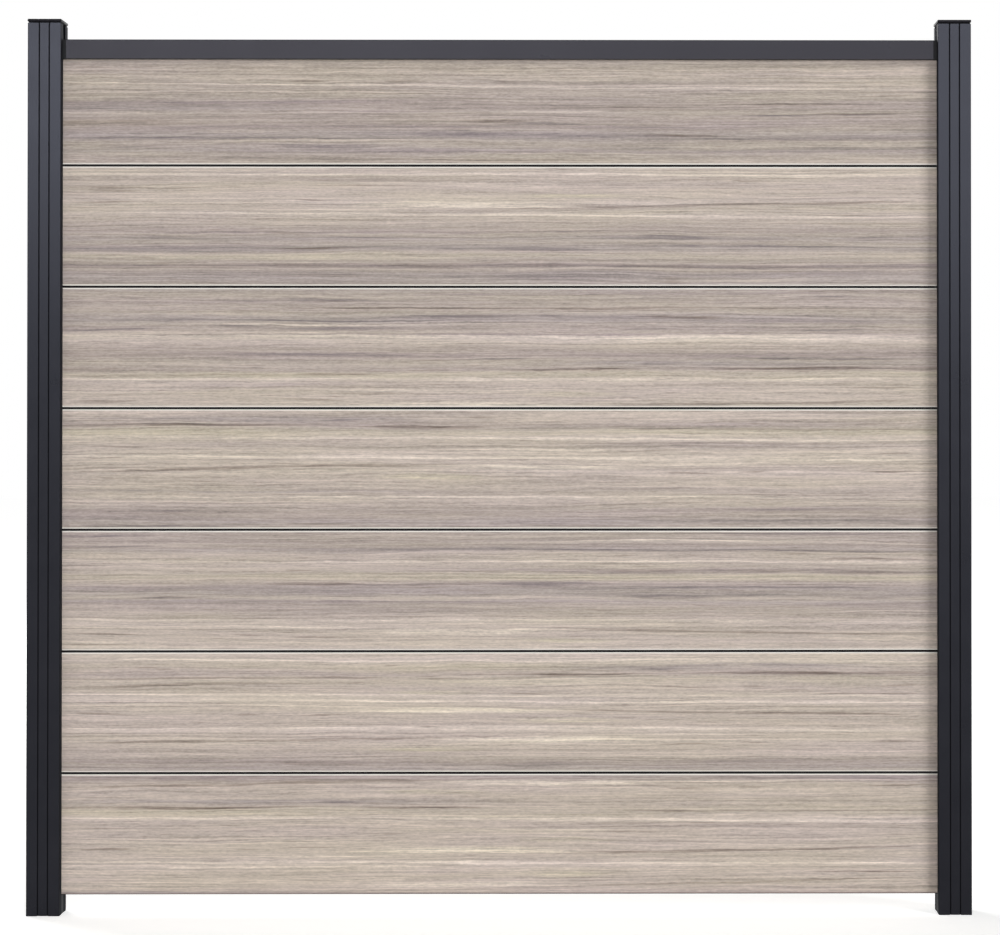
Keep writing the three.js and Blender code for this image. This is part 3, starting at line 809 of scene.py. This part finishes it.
    def _edges(self, tree: Tree, colour: Source) -> bpy.types.Node:
        """Adds the bevels' painted highlight and the charcoal core, which is also painted shade in
        the joints.

        Args:
            tree: The material's tree.
            colour: The colour of the faces.

        Returns:
            The colour of the whole board.
        """
        seen = add(tree, "TexCoord").outputs
        through = add(tree, "SeparateXYZ", {0: seen["Object"]}).outputs[1]
        through = add(tree, "Math", {0: through}, operation="ABSOLUTE")
        tilt = add(tree, "SeparateXYZ", {0: seen["Normal"]}).outputs[2]
        steep = {"Value": add(tree, "Math", {0: tilt}, operation="ABSOLUTE")}
        steep |= zip(("From Min", "From Max"), self.bevel_range)
        # Painted highlight on the bevels, but painted shade on the lowest board's downward bevel.
        lower = Tone.BARE if self.pattern.number == 1 else Tone.BEVEL
        faces_down = add(tree, "Math", {0: tilt, 1: 0.0}, operation="LESS_THAN")
        bevel = {0: faces_down, 6: linear(Tone.BEVEL.value), 7: linear(lower.value)}
        bevel = add(tree, "Mix", bevel, data_type="RGBA")
        skin = {0: add(tree, "MapRange", steep), 6: colour, 7: bevel}
        skin = add(tree, "Mix", skin, data_type="RGBA")
        # Charcoal within this distance of the middle plane: the core at the cut ends, and painted
        # shade on the tongues and grooves.
        in_core_and_joint_shade = add(tree, "Math", {0: through, 1: self.core_and_joint_shade_edge * MM}, operation="LESS_THAN")
        whole = {0: in_core_and_joint_shade, 6: skin, 7: linear(Tone.CORE.value)}
        return add(tree, "Mix", whole, data_type="RGBA")


def figure_group(figure: Figure, core: float) -> Tree:
    """Makes the node group that draws a figure's marks over a colour, once for each figure.

    Args:
        figure: The figure.
        core: Share of a mark's half width that has its full strength.

    Returns:
        The group.
    """
    known = bpy.data.node_groups.get(figure.name)
    if known:
        return known
    tree = bpy.data.node_groups.new(figure.name, "ShaderNodeTree")
    sockets = {"Colour": "Color", "Place": "Vector", "Broken": "Float", "Strength": "Float"}
    for name, kind in sockets.items():
        tree.interface.new_socket(name, in_out="INPUT", socket_type=f"NodeSocket{kind}")
    tree.interface.new_socket("Colour", in_out="OUTPUT", socket_type="NodeSocketColor")
    given = add(tree, "NodeGroupInput").outputs
    share = add(tree, "Math", {0: given["Broken"], 1: given["Strength"]}, operation="MULTIPLY")
    colour = given["Colour"]
    for mark in figure.marks:
        shape = {
            "Vector": given["Place"],
            "Location": (mark.along, 0, mark.down),
            "Rotation": (0, -math.atan(mark.slope * MM), 0),
            "Scale": (mark.half_length, 1000, mark.half_width),
        }
        local = add(tree, "Mapping", shape, vector_type="TEXTURE")
        away = add(tree, "VectorMath", {0: local}, operation="LENGTH")
        fade = {"Value": away, "From Min": 1.0, "From Max": core, "To Max": mark.strength}
        inside = add(tree, "MapRange", fade, interpolation_type="SMOOTHSTEP")
        amount = add(tree, "Math", {0: inside, 1: share}, operation="MULTIPLY", use_clamp=True)
        over = {0: amount, 6: colour, 7: linear(mark.tone.value)}
        colour = add(tree, "Mix", over, data_type="RGBA")
    add(tree, "NodeGroupOutput", {"Colour": colour})
    return tree


# ---------------------------------------------------------------- modelling by hand


class Part(Enum):
    """What pick() can select, and where a mesh keeps it."""

    FACE = "faces"
    EDGE = "edges"


def start_primitive(operator: Callable[..., Any], name: str, **settings: Any) -> Piece:
    """Adds a primitive with nothing else selected and leaves it in edit mode.

    Args:
        operator: The operator that adds it.
        name: The piece's name.
        **settings: The operator's settings.

    Returns:
        The new object.
    """
    bpy.ops.object.select_all(action="DESELECT")
    operator(**settings)
    piece = bpy.context.object
    piece.name = piece.data.name = name
    bpy.ops.object.transform_apply(location=True, rotation=True, scale=True)
    bpy.ops.object.mode_set(mode="EDIT")
    bpy.ops.mesh.select_all(action="DESELECT")
    return piece


def pick(piece: Piece, part: Part, test: Callable[[Any], bool]) -> None:
    """Selects the faces or the edges that pass a test, and no others.

    Args:
        piece: The object in edit mode.
        part: Faces or edges.
        test: Tells whether one of them is wanted.
    """
    bpy.ops.mesh.select_mode(type=part.name)
    mesh = bmesh.from_edit_mesh(piece.data)
    for element in getattr(mesh, part.value):
        element.select_set(test(element))
    bmesh.update_edit_mesh(piece.data)


def cut_four(
    piece: Piece, test: Callable[[Any], bool], middle: Vector, axes: tuple[Size, Size], away: float
) -> None:
    """Cuts the faces that pass a test along four planes round a middle.

    Args:
        piece: The object in edit mode.
        test: Tells whether a face is cut.
        middle: The point between the planes.
        axes: The planes' two directions.
        away: How far each plane lies from the middle.
    """
    for axis in axes:
        for sign in (-1, 1):
            pick(piece, Part.FACE, test)
            bpy.ops.mesh.bisect(plane_co=middle + Vector(axis) * sign * away, plane_no=axis)


def push_out(distance: float, scale: Size | None = None) -> None:
    """Extrudes the selected faces along their normal, then scales them about their middle.

    Args:
        distance: How far, in metres.
        scale: Scale along each axis, or none.
    """
    bpy.ops.mesh.extrude_region_shrink_fatten(TRANSFORM_OT_shrink_fatten={"value": distance})
    if scale:
        bpy.ops.transform.resize(value=scale)


def close_piece(piece: Piece, finish: Finish, node: str) -> None:
    """Ends a piece: outward faces, smooth shading, its finish, and its place on the frame.

    Args:
        piece: The object in edit mode.
        finish: Its material.
        node: The CAD node that it stands for.
    """
    bpy.ops.mesh.select_all(action="SELECT")
    bpy.ops.mesh.remove_doubles(threshold=0.001 * MM)
    bpy.ops.mesh.normals_make_consistent(inside=False)
    bpy.ops.object.mode_set(mode="OBJECT")
    bpy.ops.object.shade_smooth_by_angle(angle=math.radians(32))
    piece.data.materials.clear()
    piece.data.materials.append(finish)
    seat_piece(piece, node)


def seat_piece(piece: Piece, node: str) -> None:
    """Makes a piece ride on the frame in place of a CAD node.

    Args:
        piece: The finished object.
        node: The CAD node that it stands for.
    """
    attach(piece, BODY)
    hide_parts(node)


def copy_piece(piece: Piece, name: str, shift: Vector) -> Piece:
    """Copies a finished piece with its own mesh.

    Args:
        piece: The piece to copy.
        name: The copy's name.
        shift: How far the copy lies from it.

    Returns:
        The copy.
    """
    twin = bpy.data.objects.new(name, piece.data.copy())
    twin.data.name = name
    bpy.context.scene.collection.objects.link(twin)
    for vertex in twin.data.vertices:
        vertex.co += shift
    return twin


def dress(node: str, finish: Finish) -> None:
    """Gives a CAD node its finish.

    Args:
        node: The node's name.
        finish: The material for all of its slots.
    """
    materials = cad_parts[node].data.materials
    if not len(materials):
        materials.append(finish)
    for index in range(len(materials)):
        materials[index] = finish


# ---------------------------------------------------------------- sub-assemblies


@dataclass
class Posts:
    """The two slotted posts with their cover strips, seals, supports and caps."""

    coat: Finish
    casting: Finish
    rubber: Finish
    nylon: Finish
    cap_plate: float = 5.0 * MM
    cap_rim: float = 0.6 * MM
    cap_corner: float = 2 * MM
    rim_steps: int = 3
    corner_steps: int = 5
    neck_inset: float = 2.7 * MM
    neck_height: float = 2.7 * MM
    lip_wall: float = 1.8 * MM
    lip_reach: float = 11 * MM
    pieces: list[str] = field(default_factory=list)

    def build(self) -> None:
        """Models the caps and dresses the rest."""
        caps = [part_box(f"post_cap_{side}") for side in SIDES]
        cap = self._cap(*caps[0])
        close_piece(cap, self.casting, "post_cap_left")
        twin = copy_piece(cap, "cap_right", caps[1][0] - caps[0][0])
        seat_piece(twin, "post_cap_right")
        self.pieces += [cap.name, twin.name]
        for side in SIDES:
            dress(f"post_{side}", self.coat)
            for face in ("front", "back", "outer"):
                dress(f"cover_{side}_{face}", self.coat)
            for face in ("front", "back"):
                dress(f"slot_seal_{side}_{face}", self.rubber)
            dress(f"board_support_{side}", self.nylon)
            self.pieces.append(f"post_{side}")

    def _cap(self, low: Vector, high: Vector) -> Piece:
        """Models a cap: a plate with rounded rims, a set-back neck and four angled lips.

        Args:
            low: The lowest corner of the cap's box.
            high: The highest corner.

        Returns:
            The cap, still in edit mode.
        """
        middle = (low + high) / 2
        side = high.x - low.x
        plate_bottom = high.z - self.cap_plate
        cap = start_primitive(
            bpy.ops.mesh.primitive_cube_add,
            "cap_left",
            size=1,
            location=(middle.x, middle.y, high.z - self.cap_plate / 2),
            scale=(side, side, self.cap_plate),
        )
        pick(cap, Part.EDGE, lambda e: abs(e.verts[0].co.z - e.verts[1].co.z) > self.cap_plate / 2)
        bpy.ops.mesh.bevel(offset=self.cap_corner, segments=self.corner_steps, affect="EDGES")
        pick(cap, Part.EDGE, lambda e: abs(e.verts[0].co.z - e.verts[1].co.z) < self.cap_rim / 10)
        bpy.ops.mesh.bevel(offset=self.cap_rim, segments=self.rim_steps, affect="EDGES")
        pick(cap, Part.FACE, lambda f: f.normal.z < -FLAT)
        bpy.ops.mesh.inset(thickness=self.neck_inset - self.cap_rim, use_even_offset=True)
        push_out(self.neck_height)
        neck_bottom = plate_bottom - self.neck_height
        neck_half = side / 2 - self.neck_inset

        def under_neck(face: bmesh.types.BMFace) -> bool:
            """Whether a face lies on the neck's underside."""
            return abs(face.calc_center_median().z - neck_bottom) < TOUCH

        def in_lip(face: bmesh.types.BMFace) -> bool:
            """Whether a face of the neck's underside belongs to one of the angled lips."""
            centre = face.calc_center_median()
            inward = [neck_half - abs(centre[i] - middle[i]) for i in (0, 1)]
            return under_neck(face) and max(inward) < self.lip_reach and min(inward) < self.lip_wall

        for inside in (self.lip_wall, self.lip_reach):
            cut_four(cap, under_neck, middle, ((1, 0, 0), (0, 1, 0)), neck_half - inside)
        pick(cap, Part.FACE, in_lip)
        push_out(neck_bottom - low.z)
        return cap


@dataclass
class Boards:
    """The stack of seven boards, with their sizes in millimetres."""

    body_height: float = 247.2
    tongue_height: float = 7.9
    pieces: list[str] = field(default_factory=list)

    def build(self) -> None:
        """Gives each board its own streaks."""
        for pattern in PATTERNS:
            node = f"board_{pattern.number}"
            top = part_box(node)[1].z - self.tongue_height * MM
            dress(node, WoodComposite(pattern, self.body_height).build(top))
            self.pieces.append(node)


@dataclass
class TopRail:
    """The rail over the top board, its moulded ends and its two screws."""

    coat: Finish
    nylon: Finish
    steel: Finish
    head_radius: float = 3.6 * MM
    head_height: float = 2.3 * MM
    head_steps: int = 32
    dome_share: float = 0.62
    dome_steps: int = 5
    shank_radius: float = 1.75 * MM
    root_radius: float = 1.25 * MM
    thread_pitch: float = 1.4 * MM
    tip_turns: float = 2.5
    tip_steps: tuple[tuple[float, float], ...] = ((0.4, 0.7), (0.6, 0.08))
    recess_radius: float = 1.9 * MM
    recess_width: float = 0.9 * MM
    recess_depth: float = 1.3 * MM
    recess_taper: float = 0.75
    pieces: list[str] = field(default_factory=list)

    def build(self) -> None:
        """Models the screws and dresses the rest."""
        boxes = [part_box(f"rail_screw_{side}") for side in SIDES]
        screw = self._screw(*boxes[0])
        close_piece(screw, self.steel, "rail_screw_left")
        twin = copy_piece(screw, "screw_right", boxes[1][0] - boxes[0][0])
        seat_piece(twin, "rail_screw_right")
        dress("top_rail", self.coat)
        for side in SIDES:
            dress(f"rail_end_{side}", self.nylon)
        self.pieces += ["top_rail", screw.name, twin.name]

    def _screw(self, low: Vector, high: Vector) -> Piece:
        """Models a pan-head screw that points towards -Y.

        Args:
            low: The lowest corner of the screw's box.
            high: The highest corner.

        Returns:
            The screw, still in edit mode.
        """
        middle = (low + high) / 2
        screw = start_primitive(
            bpy.ops.mesh.primitive_cylinder_add,
            "screw_left",
            vertices=self.head_steps,
            radius=self.head_radius,
            depth=self.head_height,
            location=(middle.x, high.y - self.head_height / 2, middle.z),
            rotation=(math.pi / 2, 0, 0),
        )
        dome = self.head_height * self.dome_share
        pick(screw, Part.EDGE, lambda e: min(v.co.y for v in e.verts) > high.y - TOUCH)
        bpy.ops.mesh.bevel(offset=dome, segments=self.dome_steps, affect="EDGES")
        pick(screw, Part.FACE, lambda f: f.normal.y > FLAT)
        rest = self.head_radius - dome - self.recess_radius
        bpy.ops.mesh.inset(thickness=max(rest, TOUCH / 2))
        self._recess(screw, middle)
        pick(screw, Part.FACE, lambda f: f.normal.y < -FLAT)
        bpy.ops.mesh.inset(thickness=self.head_radius - self.shank_radius)
        push_out(self.thread_pitch)
        left = high.y - self.head_height - low.y - self.thread_pitch
        narrow = self.root_radius / self.shank_radius
        while left > self.tip_turns * self.thread_pitch:
            push_out(self.thread_pitch / 2, (narrow, 1, narrow))
            push_out(self.thread_pitch / 2, (1 / narrow, 1, 1 / narrow))
            left -= self.thread_pitch
        for share, scale in self.tip_steps:
            push_out(left * share, (scale, 1, scale))
        return screw

    def _recess(self, screw: Piece, middle: Vector) -> None:
        """Cuts the cross-shaped drive recess.

        Args:
            screw: The screw in edit mode.
            middle: The middle of its box.
        """
        inside = 0.9  # of a limit that a face's middle keeps to

        def on_flat(face: bmesh.types.BMFace) -> bool:
            """Whether a face lies on the flat of the head, within the recess."""
            centre = face.calc_center_median() - middle
            away = math.hypot(centre.x, centre.z)
            return face.normal.y > FLAT and away < self.recess_radius * inside

        def in_cross(face: bmesh.types.BMFace) -> bool:
            """Whether a face of the flat belongs to the cross."""
            centre = face.calc_center_median() - middle
            return on_flat(face) and min(abs(centre.x), abs(centre.z)) < half * inside

        half = self.recess_width / 2
        cut_four(screw, on_flat, middle, ((1, 0, 0), (0, 0, 1)), half)
        pick(screw, Part.FACE, in_cross)
        push_out(-self.recess_depth, (self.recess_taper, 1, self.recess_taper))


# ---------------------------------------------------------------- studio and camera


@dataclass(frozen=True)
class Softbox:
    """One soft lamp: where it hangs, where it looks, its size in metres and its power.

    lights and mirrored tell whether it lights matt surfaces and shows in glossy ones.
    """

    name: str
    place: Size
    aim: Size
    width: float
    height: float
    watts: float
    lights: bool = True
    mirrored: bool = True

    def build(self) -> None:
        """Hangs the lamp."""
        light = bpy.data.lights.new(self.name, "AREA")
        light.shape = "RECTANGLE"
        light.size = self.width
        light.size_y = self.height
        light.energy = self.watts
        lamp = bpy.data.objects.new(self.name, light)
        bpy.context.scene.collection.objects.link(lamp)
        lamp.location = self.place
        towards = Vector(self.aim) - Vector(self.place)
        lamp.rotation_euler = towards.to_track_quat("-Z", "Y").to_euler()
        lamp.visible_camera = False
        lamp.visible_diffuse = self.lights
        lamp.visible_glossy = self.mirrored


@dataclass
class Studio:
    """A pale floor in a plain white room, with soft light from the front.

    The front lamp and the fill light the boards. The two shine lamps show only in the coats of the
    posts and the rail, which they pale towards the top.
    """

    floor_radius: float = 30.0
    floor_colour: str = "#e6e6e4"
    floor_speck: float = 3 * MM
    speck_range: tuple[float, float] = (0.98, 1.02)
    floor_lift: tuple[float, float] = (0.53, 0.9)
    lift_reach: tuple[float, float] = (2.5, 9.0)
    ambient: float = 0.1
    lamps: tuple[Softbox, ...] = (
        Softbox("key", (12.0, -10.8, 8.0), (0.3, 0, 0.9), 7.0, 8.0, 1860),
        Softbox("fill", (-0.6, -3.4, 1.0), (0, 0, 1.0), 0.8, 1.2, 15, mirrored=False),
        Softbox("front", (0.7, -9.0, 3.05), (0.7, 0, 3.05), 3.8, 2.7, 197, mirrored=False),
        Softbox("shine_left", (-2.14, -7.26, 2.95), (-2.14, 0, 2.95), 3.8, 1.5, 188, lights=False),
        Softbox("shine_right", (1.66, -7.26, 3.05), (1.66, 0, 3.05), 3.8, 2.7, 197, lights=False),
        Softbox("rear_left", (-4.5, 5.5, 4.5), (0, 0, 0.9), 5.0, 3.0, 520),
    )

    def build(self) -> None:
        """Lays the floor, fills the room with light and hangs the lamps."""
        self._floor()
        self._room()
        for lamp in self.lamps:
            lamp.build()

    def _seen(self, tree: Tree) -> bpy.types.Node:
        """Adds the test for a ray that shows the room: straight, mirrored or through glass.

        Args:
            tree: The tree that gets the nodes.

        Returns:
            1 for such a ray, otherwise 0.
        """
        path = add(tree, "LightPath").outputs
        seen = {0: path["Is Camera Ray"], 1: path["Is Glossy Ray"]}
        seen = {0: add(tree, "Math", seen, operation="MAXIMUM"), 1: path["Is Transmission Ray"]}
        return add(tree, "Math", seen, operation="MAXIMUM")

    def _floor(self) -> None:
        """Lays a round floor that shows white and keeps the panel's shadow."""
        floor = start_primitive(
            bpy.ops.mesh.primitive_circle_add,
            "floor",
            vertices=64,
            radius=self.floor_radius,
            fill_type="NGON",
            location=(0, 0, 0),
        )
        bpy.ops.object.mode_set(mode="OBJECT")
        material, tree = new_material("painted_floor")
        place = add(tree, "TexCoord").outputs["Object"]
        speck = {"Value": unevenness(tree, place, (self.floor_speck,) * 3)}
        shade = add(tree, "MapRange", speck | dict(zip(("To Min", "To Max"), self.speck_range)))
        colour = {0: linear(self.floor_colour)[:3], "Scale": shade}
        colour = add(tree, "VectorMath", colour, operation="SCALE")
        paler = {"Value": add(tree, "VectorMath", {0: place}, operation="LENGTH")}
        limits = (*self.lift_reach, *self.floor_lift)
        paler |= zip(("From Min", "From Max", "To Min", "To Max"), limits)
        paler = add(tree, "MapRange", paler, interpolation_type="SMOOTHSTEP")
        lift = add(tree, "Math", {0: self._seen(tree), 1: paler}, operation="MULTIPLY")
        matt = add(tree, "BsdfDiffuse", {"Color": colour})
        both = add(tree, "AddShader", {0: matt, 1: add(tree, "Emission", {"Strength": lift})})
        add(tree, "OutputMaterial", {"Surface": both})
        floor.data.materials.append(material)

    def _room(self) -> None:
        """Makes the room white to look at, and dimmer as a source of light."""
        world = bpy.data.worlds.new("room")
        bpy.context.scene.world = world
        world.use_nodes = True
        tree = world.node_tree
        tree.nodes.clear()
        levels = {"Value": self._seen(tree), "To Min": self.ambient, "To Max": 1.0}
        glow = {"Color": (1, 1, 1, 1), "Strength": add(tree, "MapRange", levels)}
        add(tree, "OutputWorld", {"Surface": add(tree, "Background", glow)})


@dataclass(frozen=True)
class Viewpoint:
    """The camera: where it stands in metres, how it turns in degrees, and its lens."""

    place: Size = (0.229, -5.300, 1.010)
    turned_right: float = 0.413
    looks_up: float = 0.547
    lens: float = 92.44
    film: float = 36.0
    shift: tuple[float, float] = (-0.1300, -0.0699)
    sees_to: float = 200

    def build(self) -> None:
        """Sets the camera up and makes it the scene's."""
        data = bpy.data.cameras.new("camera")
        data.lens = self.lens
        data.sensor_fit = "HORIZONTAL"
        data.sensor_width = self.film
        data.shift_x, data.shift_y = self.shift
        data.clip_end = self.sees_to
        camera = bpy.data.objects.new("camera", data)
        bpy.context.scene.collection.objects.link(camera)
        camera.location = self.place
        turn = (90 + self.looks_up, 0, -self.turned_right)
        camera.rotation_euler = [math.radians(angle) for angle in turn]
        bpy.context.scene.camera = camera


# ---------------------------------------------------------------- the whole


@contextmanager
def measured() -> Iterator[None]:
    """Updates the view layer before and after the work inside.

    Yields:
        Nothing.
    """
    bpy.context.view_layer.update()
    yield
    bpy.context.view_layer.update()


def main() -> None:
    """Builds the scene in order and reports each piece."""
    logging.basicConfig(level=logging.INFO, format="%(message)s")
    bpy.context.scene.view_settings.view_transform = "Standard"
    Viewpoint().build()
    with measured():
        tint = {"reflection_tint": "#e6e5f6"}
        coat = PowderCoatedAluminium().build()
        rail_coat = PowderCoatedAluminium(
            "powder_coated_rail", coat_reflection=0.17, painted_shade_above_rail=0.0, **tint
        ).build()
        casting = PowderCoatedAluminium("powder_coated_casting", coat_reflection=0.06, **tint)
        nylon = MOULDED_NYLON.build()
        rubber = EXTRUDED_RUBBER.build()
        steel = BLACKENED_STEEL.build()
        for assembly in (
            Posts(coat, casting.build(), rubber, nylon),
            Boards(),
            TopRail(rail_coat, nylon, steel),
        ):
            assembly.build()
            for piece in assembly.pieces:
                log.info("%s: %s", type(assembly).__name__, piece)
        Studio().build()


if __name__ == "__main__":
    main()
